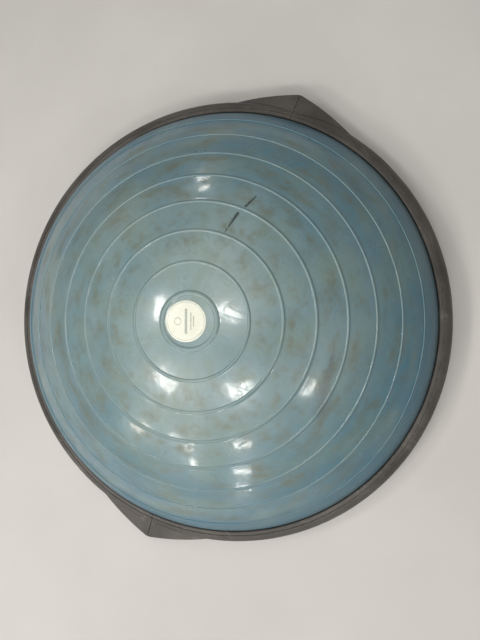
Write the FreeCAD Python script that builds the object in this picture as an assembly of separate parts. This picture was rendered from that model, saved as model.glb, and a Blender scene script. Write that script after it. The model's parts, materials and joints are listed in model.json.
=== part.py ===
"""Balance dome trainer: an air filled PVC half dome clamped to a round moulded platform.

Frame: millimetres, +Z up, origin on the floor under the centre of the platform. The two carrying
handles lie on the X axis, the air valve faces +Y, and the seam of the clamping ring lies in y = 0.
"""

import math
import os

import FreeCAD
import Part

V = FreeCAD.Vector
UP = V(0, 0, 1)
ORIGIN = V(0, 0, 0)

# ---------------------------------------------------------------- overall sizes
rim_radius = 325.0  # the widest circle, on the clamping ring
rim_height = 44.0  # height of that widest circle above the floor
overall_height = 215.0  # floor to the crown of the inflated dome
running_gap = 0.3  # between a piece that moves or is soft and its neighbour
seat_gap = 0.02  # between a screw and the hole it is driven into
ring_width = 20.5  # from the rim circle in to the dome's neck

# ---------------------------------------------------------------- feet and platform tray
foot_count = 8
foot_radius = 20.0
foot_thickness = 4.5
foot_proud = 3.0  # how far a foot stands below the tray
foot_inset = 55.0  # from the rim circle in to the circle that the feet stand on
foot_edge = 1.2  # rounding of a foot's lower edge
tread_depth = 0.8  # rings moulded in a foot's sole
deck_thickness = 4.5
deck_corner = 3.0
part_line = 40.0  # height at which the ring meets the tray
skirt_wall = 3.0
skirt_inset = 0.6  # tray's upper edge stands inside the rim circle
skirt_draft = 1.4  # lean of the skirt over its height
rib_wall = 2.5
rib_count = 16  # full length radial ribs; as many again stand between them outside the split ring
hub_rib = 50.0  # radius of the innermost ring rib
rib_edge = 35.0  # from the rim circle in to the outermost ring rib
ring_rib_count = 5
split_ring = 2  # which ring rib the short ribs start from
grip_groove_first = 80.0
grip_groove_pitch = 40.0
grip_groove_count = 4
grip_groove_width = 2.4
grip_groove_depth = 0.8
badge_radius = 45.0
badge_thickness = 1.2

# ---------------------------------------------------------------- clamping ring
lip_gap = 0.9  # narrow slot between the dome and the ring's lip
lip_height = 60.2
lip_width = 6.0
lip_step = 1.6  # drop from the lip to the sloping face
lip_groove = 1.3  # width of the groove moulded between the lip and the sloping face
lip_groove_depth = 1.6
ring_wall = 3.0
nose_clearance = 0.9
seam_gap = 0.5
seam_groove = 1.6

# ---------------------------------------------------------------- carrying handles
handle_reach = 21.5  # how far a handle's tip stands out past the rim
handle_half_angle = 15.5
handle_bulge = 3.0  # bow of each flank
tip_half_width = 6.0
tip_round = 0.9
handle_floor = 24.0  # height of the handle's underside
pocket_half_width = 52.0
pocket_depth = 28.0  # how far the finger pocket goes in behind the rim
pocket_corner = 14.0
pocket_wall = 3.0

# ---------------------------------------------------------------- dome
skin = 3.2
shoulder_width = 17.5  # from the neck in to where the tighter curve beside the ring begins
shoulder_height = 89.0  # height above the floor where that curve begins
neck_lean = 18.4  # degrees from upright at which the curve runs into the neck
flange_reach = 6.3  # how far the clamped flange stands out past the neck
flange_thickness = 3.0
weld_lip = 8.0  # flange inside the skin, where the floor sheet is welded on
flange_fillet = 2.4
floor_sheet = 3.0
bead_first = 72.0  # distance from the crown to the first bead, along the skin
bead_last = 6.2  # from the last bead to the start of the shoulder, along the skin
bead_count = 7
bead_width = 4.6
bead_height = 1.2
crown_bead = 34.0  # distance from the crown to the broad bead round the label
crown_bead_width = 7.0
crown_bead_height = 1.4
label_radius = 25.0
label_thickness = 0.4
label_offset = V(-1.3, 3.8, 0)

# ---------------------------------------------------------------- air valve
valve_past_shoulder = 14.5  # from the start of the shoulder to the valve, along the skin
stem_radius = 9.0
stem_flange_radius = 13.0
stem_flange = 2.0
stem_length = 24.0
valve_bore = 4.0
plug_head_radius = 7.2
plug_head = 2.2
plug_length = 18.0
plug_clearance = 0.05
pull_slot = 1.6

# ---------------------------------------------------------------- screws
screw_radius = 2.0
screw_head_radius = 3.8
screw_head = 2.6
shank_clearance = 0.2
screw_recess = 1.1
head_clearance = 0.4
ring_screw_count = 16
ring_screw_out = 5.7  # from the flange's edge out to a ring screw
ring_screw_seat = 22.0
ring_screw_length = 28.0
post_radius = 5.0
boss_radius = 4.0
handle_screw_out = 9.0  # past the rim circle
handle_screw_y = 9.5
handle_screw_seat = 30.0
handle_screw_length = 16.0
foot_screw_length = 14.0
foot_head_depth = 1.0  # how far a foot screw's head is sunk

# ---------------------------------------------------------------- worked-out places
deck_bottom = foot_proud
deck_top = deck_bottom + deck_thickness
skirt_top = rim_radius - skirt_inset
skirt_bottom = skirt_top - skirt_draft
foot_circle = rim_radius - foot_inset
neck_radius = rim_radius - ring_width
flange_radius = neck_radius + flange_reach
shoulder_start = neck_radius - shoulder_width
crown_rise = overall_height - shoulder_height
dome_radius = (crown_rise**2 + shoulder_start**2) / (2 * crown_rise)
shoulder_lift = math.asin(shoulder_start / dome_radius)
neck_tilt = math.radians(90.0 - neck_lean)
shoulder_radius = shoulder_width / (math.sin(neck_tilt) - math.sin(shoulder_lift))
rib_pitch = (rim_radius - rib_edge - hub_rib) / (ring_rib_count - 1)
ring_rib_radii = [hub_rib + k * rib_pitch for k in range(ring_rib_count)]
grip_groove_radii = [grip_groove_first + k * grip_groove_pitch for k in range(grip_groove_count)]
ring_screw_circle = flange_radius + ring_screw_out
handle_screw_x = rim_radius + handle_screw_out
screw_hole = screw_radius + shank_clearance
floor_top = part_line + 1.0
floor_bottom = floor_top - floor_sheet
seat_top = floor_bottom
flange_bottom = floor_top + running_gap
flange_top = flange_bottom + flange_thickness
nose_bottom = flange_top + running_gap
ring_step = flange_radius + nose_clearance - 0.2
lip_inner = neck_radius + lip_gap
lip_outer = lip_inner + lip_width
slope_inner = lip_outer + lip_groove
tip_radius = rim_radius + handle_reach
dome_centre = overall_height - dome_radius


def edge(start, end):
    return Part.LineSegment(start, end).toShape()


def arc(start, middle, end):
    return Part.Arc(start, middle, end).toShape()


def rz(radius, height):
    """A point of a turned profile, in the plane y = 0."""
    return V(radius, 0, height)


def polar(radius, degrees, height=0.0):
    a = math.radians(degrees)
    return V(radius * math.cos(a), radius * math.sin(a), height)


def chain(points):
    """Edges through a list of points. An arc is written as a pair: the point it passes, and its end."""
    edges = []
    here = points[0]
    for step in points[1:]:
        if isinstance(step, tuple):
            edges.append(arc(here, step[0], step[1]))
            here = step[1]
        else:
            edges.append(edge(here, step))
            here = step
    return edges


def turned(points):
    """A closed profile turned once round the Z axis."""
    closed = points + [points[0]]
    return Part.Face(Part.Wire(chain(closed))).revolve(ORIGIN, UP, 360)


def tube(outer, inner, low, high):
    solid = Part.makeCylinder(outer, high - low, V(0, 0, low))
    return solid.cut(Part.makeCylinder(inner, high - low, V(0, 0, low)))


def post(radius, low, high, at):
    return Part.makeCylinder(radius, high - low, V(at.x, at.y, low))


def turn(shape, degrees):
    copy = shape.copy()
    copy.rotate(ORIGIN, UP, degrees)
    return copy


def around(shape, count, first=0.0):
    return [turn(shape, first + k * 360.0 / count) for k in range(count)]


def between(a, b, share):
    return a + (b - a) * share


def save(name, shape):
    solids = shape.Solids
    good = shape.isValid() and all(s.Volume > 0 for s in solids)
    cm3 = sum(s.Volume for s in solids) / 1000
    print(f"{name:22s} {len(solids):3d} solids {cm3:9.2f} cm3 {'ok' if good else 'INVALID'}")
    shape.exportStep(f"parts/{name}.step")


# ---------------------------------------------------------------- handle outline, shared by ring and tray
def handle_face(inset, height):
    """Plan of the +X handle: two bowed flanks that meet at a rounded tip, moved in by inset."""
    root = polar(rim_radius - inset, handle_half_angle, height)
    root_low = V(root.x, -root.y, height)
    tip_x = tip_radius - inset * 1.1
    corner = V(tip_x - tip_round, tip_half_width, height)
    corner_low = V(corner.x, -corner.y, height)
    run = corner - root
    outward = V(-run.y, run.x, 0).normalize()
    if outward.x < 0:
        outward = outward * -1
    bow = between(root, corner, 0.5) + outward * handle_bulge
    bow_low = V(bow.x, -bow.y, height)
    outline = [root_low, (bow_low, corner_low), (V(tip_x, 0, height), corner), (bow, root)]
    return Part.Face(Part.Wire(chain(outline + [root_low])))


def handle_prism(inset, low, high):
    """The handle's plan raised from low to high, with a block behind it that reaches into the rim."""
    prism = handle_face(inset, low).extrude(V(0, 0, high - low))
    root = polar(rim_radius - inset, handle_half_angle)
    back = Part.makeBox(8.0, 2 * root.y, high - low, V(root.x - 8.0, -root.y, low))
    return prism.fuse(back)


def roof_height(x, y, lowered=0.0):
    """Each half of a handle is a flat facet that falls from the seam line to the flanks."""
    ridge_start = lip_height - lip_step - 1.0
    ridge_end = rim_height + 3.5
    along = (ridge_end - ridge_start) / (tip_radius - lip_outer)
    root = polar(rim_radius, handle_half_angle)
    at_root = ridge_start + along * (root.x - lip_outer)
    side = (at_root - (rim_height + 1.0)) / root.y
    return ridge_start + along * (x - lip_outer) - side * abs(y) - lowered


def roof_block(low, lowered=0.0):
    """The space under both facets, from the height low up."""
    x0 = rim_radius - 40.0
    x1 = tip_radius + 10.0
    y1 = rim_radius * math.sin(math.radians(handle_half_angle)) + 5.0
    halves = []
    for side in (1, -1):
        plan = [(x0, 0), (x1, 0), (x1, side * y1), (x0, side * y1)]
        base = [V(x, y, low) for x, y in plan]
        top = [V(x, y, roof_height(x, y, lowered)) for x, y in plan]
        faces = [Part.Face(Part.makePolygon(base + base[:1]))]
        faces.append(Part.Face(Part.makePolygon(top + top[:1])))
        for k in range(4):
            n = (k + 1) % 4
            wall = [base[k], base[n], top[n], top[k], base[k]]
            faces.append(Part.Face(Part.makePolygon(wall)))
        halves.append(Part.Solid(Part.makeShell(faces)))
    return halves[0].fuse(halves[1])


def mirrored(shape):
    """The same feature at the +X and the -X handle."""
    return shape.fuse(turn(shape, 180))


# ---------------------------------------------------------------- screws
def cross_recess(low):
    arm = Part.makeBox(2 * screw_radius + 1.2, 1.1, screw_recess, V(-screw_radius - 0.6, -0.55, low))
    other = arm.copy()
    other.rotate(ORIGIN, UP, 90)
    return arm.fuse(other)


def pan_screw(seat, length, at):
    """A pan head screw driven upward: its head's upper face rests at the height seat."""
    head = Part.makeCylinder(screw_head_radius, screw_head, V(0, 0, seat - screw_head))
    low_edges = [e for e in head.Edges if abs(e.BoundBox.ZMax - (seat - screw_head)) < 1e-6]
    head = head.makeFillet(screw_head * 0.4, low_edges)
    shank = Part.makeCylinder(screw_radius, length - screw_radius, V(0, 0, seat))
    point = Part.makeCone(screw_radius, 0.4, screw_radius, V(0, 0, seat + length - screw_radius))
    screw = head.fuse([shank, point]).cut(cross_recess(seat - screw_head)).removeSplitter()
    screw.translate(V(at.x, at.y, 0))
    return screw


def sunk_screw(at):
    """A countersunk screw through a foot into the tray."""
    low = foot_head_depth
    head = Part.makeCone(screw_head_radius, screw_radius, screw_head_radius - screw_radius, V(0, 0, low))
    shank = Part.makeCylinder(screw_radius, foot_screw_length, V(0, 0, low))
    screw = head.fuse(shank).cut(cross_recess(low)).removeSplitter()
    screw.translate(V(at.x, at.y, 0))
    return screw


def ring_screw_places():
    step = 360.0 / ring_screw_count
    return [polar(ring_screw_circle, step * (k + 0.5)) for k in range(ring_screw_count)]


def handle_screw_places():
    ends = (1, -1)
    return [V(sx * handle_screw_x, sy * handle_screw_y, 0) for sx in ends for sy in ends]


def foot_places():
    step = 360.0 / foot_count
    return [polar(foot_circle, step * (k + 0.5)) for k in range(foot_count)]


# ---------------------------------------------------------------- platform tray
def tray_shell():
    """Flat deck with a rounded corner, and the skirt that rises from it."""
    inner_top = skirt_top - skirt_wall
    inner_low = skirt_bottom - skirt_wall
    corner = V(skirt_bottom, 0, deck_bottom + deck_corner)
    middle = rz(
        skirt_bottom - deck_corner * (1 - math.sqrt(0.5)),
        deck_bottom + deck_corner * (1 - math.sqrt(0.5)),
    )
    return turned(
        [
            rz(0, deck_bottom),
            rz(skirt_bottom - deck_corner, deck_bottom),
            (middle, corner),
            rz(skirt_top, part_line),
            rz(inner_top, part_line),
            rz(inner_low, deck_top),
            rz(0, deck_top),
        ]
    )


def tray_ribs():
    ribs = [tube(r + rib_wall / 2, r - rib_wall / 2, deck_top, seat_top) for r in ring_rib_radii]
    ribs.append(tube(flange_radius, flange_radius - rib_wall - 0.5, deck_top, seat_top))
    end = skirt_bottom - skirt_wall / 2
    height = seat_top - deck_top
    half_pitch = 180.0 / rib_count
    for start, first in ((ring_rib_radii[0], 0.0), (ring_rib_radii[split_ring], half_pitch)):
        rib = Part.makeBox(end - start, rib_wall, height, V(start, -rib_wall / 2, deck_top))
        ribs += around(rib, rib_count, first)
    return ribs


def pocket(wall):
    """Finger pocket under the +X handle, grown by wall for its lining."""
    inner = rim_radius - pocket_depth - wall
    length = tip_radius + 10.0 - inner if wall == 0 else skirt_bottom - inner
    low = deck_bottom - 5.0 if wall == 0 else deck_bottom
    width = 2 * (pocket_half_width + wall)
    block = Part.makeBox(length, width, handle_floor + wall - low, V(inner, -width / 2, low))
    upright = []
    for e in block.Edges:
        box = e.BoundBox
        if box.ZLength > 5 and box.XMax < inner + 1:
            upright.append(e)
    return block.makeFillet(pocket_corner + wall, upright)


def tray_handle():
    """Hollow lower half of the +X handle, open at the top and closed by the ring."""
    body = handle_prism(skirt_inset, handle_floor, part_line)
    wall = skirt_inset + skirt_wall
    hollow = handle_prism(wall, handle_floor + pocket_wall, part_line)
    return body.cut(hollow)


def base_platform():
    tray = tray_shell().fuse(tray_ribs())
    tray = tray.fuse([mirrored(tray_handle()), mirrored(pocket(pocket_wall))])
    posts = [post(post_radius, deck_top, part_line, p) for p in ring_screw_places()]
    posts += [post(post_radius, handle_floor, part_line, p) for p in handle_screw_places()]
    boss_top = foot_head_depth + foot_screw_length + 2.0
    posts += [post(post_radius, deck_top, boss_top, p) for p in foot_places()]
    tray = tray.fuse(posts)
    cuts = [mirrored(pocket(0))]
    seat_pocket = post(foot_radius + running_gap, 0, foot_thickness, V(0, 0, 0))
    for p in foot_places():
        cuts.append(seat_pocket.translated(p))
        cuts.append(post(screw_radius + seat_gap, 0, foot_head_depth + foot_screw_length + 0.5, p))
    for p in ring_screw_places():
        cuts.append(post(screw_head_radius + head_clearance, 0, ring_screw_seat, p))
        cuts.append(post(screw_hole, 0, part_line, p))
    for p in handle_screw_places():
        cuts.append(post(screw_head_radius + head_clearance, 0, handle_screw_seat, p))
        cuts.append(post(screw_hole, 0, part_line, p))
    half = grip_groove_width / 2
    for r in grip_groove_radii:
        cuts.append(tube(r + half, r - half, deck_bottom - 1, deck_bottom + grip_groove_depth))
    cuts.append(post(badge_radius + running_gap, 0, deck_bottom + badge_thickness, ORIGIN))
    cuts.append(post(flange_radius + 2 * running_gap, seat_top, part_line + 5, ORIGIN))
    return tray.cut(cuts).removeSplitter()


# ---------------------------------------------------------------- clamping ring
def ring_envelope():
    """Outer form of the ring: inner lip, a narrow groove, and a bowed face that falls to the rim."""
    lip_round = 2.4
    slope_top = lip_height - lip_step
    face_end = rz(rim_radius - 0.8, rim_height + 3.2)
    face_start = rz(slope_inner + 0.6, slope_top - 0.5)
    groove_low = slope_top - lip_groove_depth
    bow = between(face_start, face_end, 0.5) + V(1.2, 0, 1.2)
    return turned(
        [
            rz(ring_step, part_line),
            rz(ring_step, nose_bottom),
            rz(neck_radius + flange_fillet + 0.6, nose_bottom),
            rz(lip_inner, nose_bottom + flange_fillet + 0.8),
            rz(lip_inner, lip_height - lip_round),
            (rz(lip_inner + lip_round * 0.29, lip_height - lip_round * 0.29), rz(lip_inner + lip_round, lip_height)),
            rz(lip_outer - 0.8, lip_height - 0.5),
            (rz(lip_outer - 0.2, lip_height - 0.8), rz(lip_outer, lip_height - 1.4)),
            rz(lip_outer, groove_low),
            rz(slope_inner, groove_low),
            rz(slope_inner, slope_top - 0.2),
            face_start,
            (bow, face_end),
            (rz(rim_radius - 0.15, rim_height + 1.6), rz(rim_radius, rim_height)),
            rz(rim_radius, part_line + 0.6),
            rz(skirt_top, part_line),
        ]
    )


def ring_cavity():
    inner = ring_step + 2.2
    outer = rim_radius - ring_wall - 0.4
    return turned(
        [
            rz(inner, part_line - 1),
            rz(inner, rim_height + 8.0),
            rz(outer - 1.2, rim_height + 0.6),
            rz(outer, rim_height - 1.0),
            rz(outer, part_line - 1),
        ]
    )


def handle_cap(inset, lowered):
    """Upper half of the +X handle under its two facets."""
    prism = handle_prism(inset, part_line - (1.0 if inset else 0.0), lip_height + 10)
    cap = prism.common(roof_block(part_line - 1.0, lowered))
    return cap.cut(Part.makeCylinder(slope_inner, lip_height + 10))


def whole_ring():
    envelope = ring_envelope().fuse(mirrored(handle_cap(0, 0)))
    cavity = ring_cavity()
    inner_handle = mirrored(handle_cap(ring_wall, ring_wall))
    hollow_handle = inner_handle.cut(Part.makeCylinder(ring_screw_circle, 100))
    shell = envelope.cut([cavity, hollow_handle])
    keep = []
    rib_height = lip_height - part_line
    rib = Part.makeBox(tip_radius, rib_wall, rib_height, V(0, -rib_wall / 2, part_line))
    keep += around(rib, rib_count, 360.0 / rib_count)
    for p in ring_screw_places() + handle_screw_places():
        keep.append(post(boss_radius, part_line, lip_height, p))
    filling = keep[0].fuse(keep[1:]).common(envelope)
    inside = cavity.fuse(hollow_handle)
    ring = shell.fuse(filling.common(inside))
    holes = []
    for p in ring_screw_places():
        holes.append(post(screw_radius + seat_gap, 0, ring_screw_seat + ring_screw_length + 0.5, p))
    for p in handle_screw_places():
        holes.append(post(screw_radius + seat_gap, 0, handle_screw_seat + handle_screw_length + 0.5, p))
    return ring.cut(holes).removeSplitter()


def seam_cutter():
    """V groove along the seam line of the +X handle."""
    side = seam_groove / math.sqrt(2)
    length = tip_radius - lip_inner + 20
    bar = Part.makeBox(length, side, side, V(0, -side / 2, -side / 2))
    bar.rotate(ORIGIN, V(1, 0, 0), 45)
    start = V(lip_inner - 6, 0, roof_height(lip_inner - 6, 0))
    end = V(tip_radius, 0, roof_height(tip_radius, 0))
    bar.rotate(ORIGIN, V(0, 1, 0), math.degrees(math.atan2(start.z - end.z, end.x - start.x)))
    bar.translate(start)
    return bar


def ring_halves():
    ring = whole_ring().cut(mirrored(seam_cutter()))
    size = tip_radius + 20
    half = Part.makeBox(2 * size, size, 200, V(-size, seam_gap / 2, 0))
    rear = ring.common(half)
    front = ring.common(turn(half, 180))
    return front, rear


# ---------------------------------------------------------------- dome
def on_sphere(radius, angle):
    return rz(radius * math.sin(angle), dome_centre + radius * math.cos(angle))


def shoulder_centre():
    touch = on_sphere(dome_radius, shoulder_lift)
    return touch - V(math.sin(shoulder_lift), 0, math.cos(shoulder_lift)) * shoulder_radius


def on_shoulder(radius, angle):
    return shoulder_centre() + V(math.sin(angle), 0, math.cos(angle)) * radius


def neck_angle(inset):
    """Angle at which the shoulder meets the upright neck, inset from the outside."""
    return math.asin((neck_radius - inset - shoulder_centre().x) / (shoulder_radius - inset))


def dome_outline():
    """Outside of the skin from the crown to the neck, with its raised beads."""
    begin = shoulder_lift
    pitch = (dome_radius * begin - bead_last - bead_first) / (bead_count - 1)
    beads = [(crown_bead, crown_bead_width, crown_bead_height)]
    beads += [(bead_first + k * pitch, bead_width, bead_height) for k in range(bead_count)]
    points = [on_sphere(dome_radius, 0)]
    last = 0.0
    for s, width, height in beads:
        a0 = (s - width / 2) / dome_radius
        a1 = (s + width / 2) / dome_radius
        middle = on_sphere(dome_radius, (last + a0) / 2)
        points.append((middle, on_sphere(dome_radius, a0)))
        top = on_sphere(dome_radius + height, s / dome_radius)
        points.append((top, on_sphere(dome_radius, a1)))
        last = a1
    points.append((on_sphere(dome_radius, (last + begin) / 2), on_sphere(dome_radius, begin)))
    end = neck_angle(0)
    points.append((on_shoulder(shoulder_radius, (begin + end) / 2), on_shoulder(shoulder_radius, end)))
    return points


def dome_solid():
    begin = shoulder_lift
    inner_end = neck_angle(skin)
    inner_sphere = dome_radius - skin
    inner_shoulder = shoulder_radius - skin
    root = rz(neck_radius, flange_top + flange_fillet)
    foot = rz(neck_radius + flange_fillet, flange_top)
    bend = rz(neck_radius + flange_fillet * 0.29, flange_top + flange_fillet * 0.29)
    back = [
        root,
        (bend, foot),
        rz(flange_radius, flange_top),
        rz(flange_radius, flange_bottom),
        rz(neck_radius - skin - weld_lip, flange_bottom),
        rz(neck_radius - skin - weld_lip, flange_top),
        rz(neck_radius - skin, flange_top),
        on_shoulder(inner_shoulder, inner_end),
        (on_shoulder(inner_shoulder, (begin + inner_end) / 2), on_shoulder(inner_shoulder, begin)),
        (on_sphere(inner_sphere, begin / 2), on_sphere(inner_sphere, 0)),
    ]
    return turned(dome_outline() + back)


def valve_frame():
    """Point on the skin where the valve sits, and the outward direction there."""
    angle = shoulder_lift + valve_past_shoulder / shoulder_radius
    at = on_shoulder(shoulder_radius, angle)
    return V(0, at.x, at.z), V(0, math.sin(angle), math.cos(angle))


def along_valve(radius, start, end):
    """A cylinder on the valve's axis, between two distances inward from the skin."""
    at, out = valve_frame()
    return Part.makeCylinder(radius, end - start, at - out * start, out * -1)


def dome_skin():
    hole = along_valve(stem_radius + running_gap, -5, skin + 5)
    return dome_solid().cut(hole)


def bladder_floor():
    return post(flange_radius, floor_bottom, floor_top, ORIGIN)


def crown_label():
    """Thin round film that follows the crown."""
    outer = Part.makeSphere(dome_radius + label_thickness, V(0, 0, dome_centre))
    inner = Part.makeSphere(dome_radius, V(0, 0, dome_centre))
    column = post(label_radius, overall_height - 20, overall_height + 5, label_offset)
    return outer.cut(inner).common(column)


def valve_stem():
    """Soft bushing in the skin: outer collar, inner flange and a blind tube for the plug."""
    flat = 0.2
    inner_bow = shoulder_radius - skin
    sag = inner_bow - math.sqrt(inner_bow**2 - stem_flange_radius**2)
    flange_at = skin + sag + running_gap
    stem = along_valve(stem_radius, flat, flange_at + stem_flange)
    stem = stem.fuse(along_valve(stem_flange_radius, flange_at, flange_at + stem_flange))
    stem = stem.fuse(along_valve(valve_bore + 2.4, flange_at, stem_length))
    bore = along_valve(valve_bore, -2, stem_length - 2.0)
    seat = along_valve(plug_head_radius + running_gap, -2, flat + plug_head + running_gap)
    return stem.cut([bore, seat]).removeSplitter()


def valve_plug():
    """Push-in plug: a flat head with a pull slot, and a shaft with a rounded end."""
    flat = 0.2
    head = along_valve(plug_head_radius, flat, flat + plug_head)
    shaft = along_valve(valve_bore - plug_clearance, flat, flat + plug_length)
    at, out = valve_frame()
    tip = at - out * (flat + plug_length)
    ends = [e for e in shaft.Edges if (e.BoundBox.Center - tip).Length < 0.1]
    shaft = shaft.makeFillet(1.2, ends)
    plug = head.fuse(shaft).removeSplitter()
    groove = Part.makeBox(2 * plug_head_radius - 5, pull_slot, 1.0)
    groove.translate(V(-plug_head_radius + 2.5, -pull_slot / 2, -0.5))
    groove.Placement = FreeCAD.Placement(at - out * flat, FreeCAD.Rotation(UP, out)).multiply(
        groove.Placement
    )
    return plug.cut(groove)


# ---------------------------------------------------------------- feet, badge
def foot(at):
    pad = Part.makeCylinder(foot_radius, foot_thickness)
    low = [e for e in pad.Edges if e.BoundBox.ZMax < 0.01]
    pad = pad.makeFillet(foot_edge, low)
    sink = screw_head_radius - screw_radius
    cuts = [
        Part.makeCylinder(screw_hole, foot_thickness),
        Part.makeCylinder(screw_head_radius + head_clearance, foot_head_depth),
        Part.makeCone(
            screw_head_radius + head_clearance, screw_hole, sink + head_clearance, V(0, 0, foot_head_depth)
        ),
    ]
    for share in (0.45, 0.7):
        r = foot_radius * share
        cuts.append(tube(r + 0.8, r - 0.8, 0, tread_depth))
    pad = pad.cut(cuts)
    pad.translate(at)
    return pad


def underside_badge():
    return post(badge_radius, deck_bottom, deck_bottom + badge_thickness, ORIGIN)


def main():
    os.makedirs("parts", exist_ok=True)
    save("base_platform", base_platform())
    front, rear = ring_halves()
    save("retaining_ring_front", front)
    save("retaining_ring_rear", rear)
    save("dome_skin", dome_skin())
    save("bladder_floor", bladder_floor())
    save("crown_label", crown_label())
    save("valve_stem", valve_stem())
    save("valve_plug", valve_plug())
    for number, place in enumerate(foot_places(), start=1):
        save(f"foot_{number}", foot(place))
    save("foot_screws", Part.makeCompound([sunk_screw(p) for p in foot_places()]))
    ring_set = [pan_screw(ring_screw_seat, ring_screw_length, p) for p in ring_screw_places()]
    save("ring_screws", Part.makeCompound(ring_set))
    grips = [pan_screw(handle_screw_seat, handle_screw_length, p) for p in handle_screw_places()]
    save("handle_screws", Part.makeCompound(grips))
    save("underside_badge", underside_badge())
    at, out = valve_frame()
    print("valve at", [round(x, 3) for x in at], "axis", [round(x, 5) for x in out])


main()
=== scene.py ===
# %% [markdown]
# # A balance dome trainer
# The real object is a half ball of soft PVC, blown up and clamped by a two-part ring to a round moulded
# platform. People stand on the dome, or turn it over and stand on the flat side. The hard parts come
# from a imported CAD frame. This lesson adds what CAD leaves plain: the soft dome with its raised rings,
# the label film, and a worn, dusty finish for every piece.
#
# The frame comes first. Every later size is read from it, or is a named value next to the piece that
# uses it.

# %% Load the frame
import json
import math

import bmesh
import bpy
from mathutils import Matrix, Vector, noise


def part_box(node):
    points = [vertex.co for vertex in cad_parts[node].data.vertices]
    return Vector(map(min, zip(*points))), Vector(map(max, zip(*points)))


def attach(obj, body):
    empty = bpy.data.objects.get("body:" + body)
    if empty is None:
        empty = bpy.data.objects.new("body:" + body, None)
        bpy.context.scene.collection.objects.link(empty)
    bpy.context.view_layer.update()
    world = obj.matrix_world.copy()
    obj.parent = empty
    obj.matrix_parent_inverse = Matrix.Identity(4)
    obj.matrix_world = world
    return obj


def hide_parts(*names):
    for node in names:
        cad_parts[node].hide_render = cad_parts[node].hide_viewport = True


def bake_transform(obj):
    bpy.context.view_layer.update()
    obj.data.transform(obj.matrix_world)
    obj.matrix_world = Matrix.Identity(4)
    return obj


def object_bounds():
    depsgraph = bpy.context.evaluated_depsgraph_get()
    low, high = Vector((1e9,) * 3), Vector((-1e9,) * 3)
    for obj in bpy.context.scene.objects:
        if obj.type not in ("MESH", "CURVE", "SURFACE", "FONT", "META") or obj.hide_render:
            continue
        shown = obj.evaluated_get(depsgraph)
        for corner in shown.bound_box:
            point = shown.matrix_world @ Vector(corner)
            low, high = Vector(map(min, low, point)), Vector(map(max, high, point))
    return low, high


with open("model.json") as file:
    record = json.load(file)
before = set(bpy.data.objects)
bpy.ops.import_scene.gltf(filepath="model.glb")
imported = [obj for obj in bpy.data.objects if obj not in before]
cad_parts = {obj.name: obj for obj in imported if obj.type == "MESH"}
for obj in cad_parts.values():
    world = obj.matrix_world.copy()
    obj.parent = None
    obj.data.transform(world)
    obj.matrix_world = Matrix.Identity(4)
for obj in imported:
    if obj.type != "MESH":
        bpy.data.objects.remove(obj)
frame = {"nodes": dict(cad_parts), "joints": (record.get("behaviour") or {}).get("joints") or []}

cad_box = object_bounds()
nodes = frame["nodes"]
print("CAD box:", [[round(v, 4) for v in corner] for corner in cad_box])

# %% [markdown]
# ## The camera
# The object is seen from almost straight above, as someone standing beside it would look down. A camera
# can be aimed with a Track To constraint, or with a matrix made from the three directions it should
# have. The matrix is chosen because it also holds the roll: the trainer's handles do not line up with
# the picture's edges.

# %% Place the camera
camera_place = Vector((0.0636, -0.1825, 0.8549))
camera_right = Vector((0.3284, -0.9230, -0.2009))
camera_up = Vector((0.9425, 0.3345, 0.0041))
focal_length = 31.5  # millimetres, on the 36 mm long side of the picture


def matrix_from_axes(right, up, place):
    """A placement whose X and Y axes lie along right and up."""
    x = right.normalized()
    z = x.cross(up).normalized()
    y = z.cross(x)
    matrix = Matrix((x, y, z)).transposed().to_4x4()
    matrix.translation = place
    return matrix


camera_data = bpy.data.cameras.new("camera")
camera_data.lens = focal_length
camera_data.clip_start = 0.01
camera = bpy.data.objects.new("camera", camera_data)
bpy.context.scene.collection.objects.link(camera)
camera.matrix_world = matrix_from_axes(camera_right, camera_up, camera_place)
bpy.context.scene.camera = camera
print("camera height:", round(camera_place.z, 3))

# %% [markdown]
# ## Light and floor
# A gym has rows of ceiling lamps, and a glossy dome shows each one as a small bright spot. One large
# soft panel could light the object alone, but the dome would then show one big square. So the soft
# panels are kept out of reflections, and fifteen small lamps give the dome its spots. Area lights are
# used because their size sets how soft each shadow and each spot is. The key panel lights one side, the
# top panel the crown, and a weak one keeps the shadows open.

# %% Hang the lights
def soft_panel(name, place, size, power, colour, shows_in_gloss=True):
    """An oblong area light that faces the trainer. The camera never sees it."""
    data = bpy.data.lights.new(name, "AREA")
    data.shape = "RECTANGLE"
    data.size, data.size_y = size
    data.energy = power
    data.color = colour
    panel = bpy.data.objects.new(name, data)
    bpy.context.scene.collection.objects.link(panel)
    panel.location = place
    panel.rotation_euler = (-Vector(place)).to_track_quat("-Z", "Y").to_euler()
    panel.visible_camera = False
    panel.visible_glossy = shows_in_gloss
    return panel


warm = (1.0, 0.965, 0.91)
cool = (0.90, 0.96, 1.0)
soft_panel("key_panel", (-1.1, 0.45, 2.3), (1.6, 1.6), 22.0, warm, shows_in_gloss=False)
soft_panel("top_panel", (0.85, 0.05, 2.2), (1.0, 1.0), 14.0, warm, shows_in_gloss=False)
soft_panel("fill_panel", (1.9, -1.5, 1.6), (1.6, 1.6), 0.3, cool, shows_in_gloss=False)
lamp_brightness = 28.0  # watts per square metre and steradian, the same for every lamp
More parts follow.
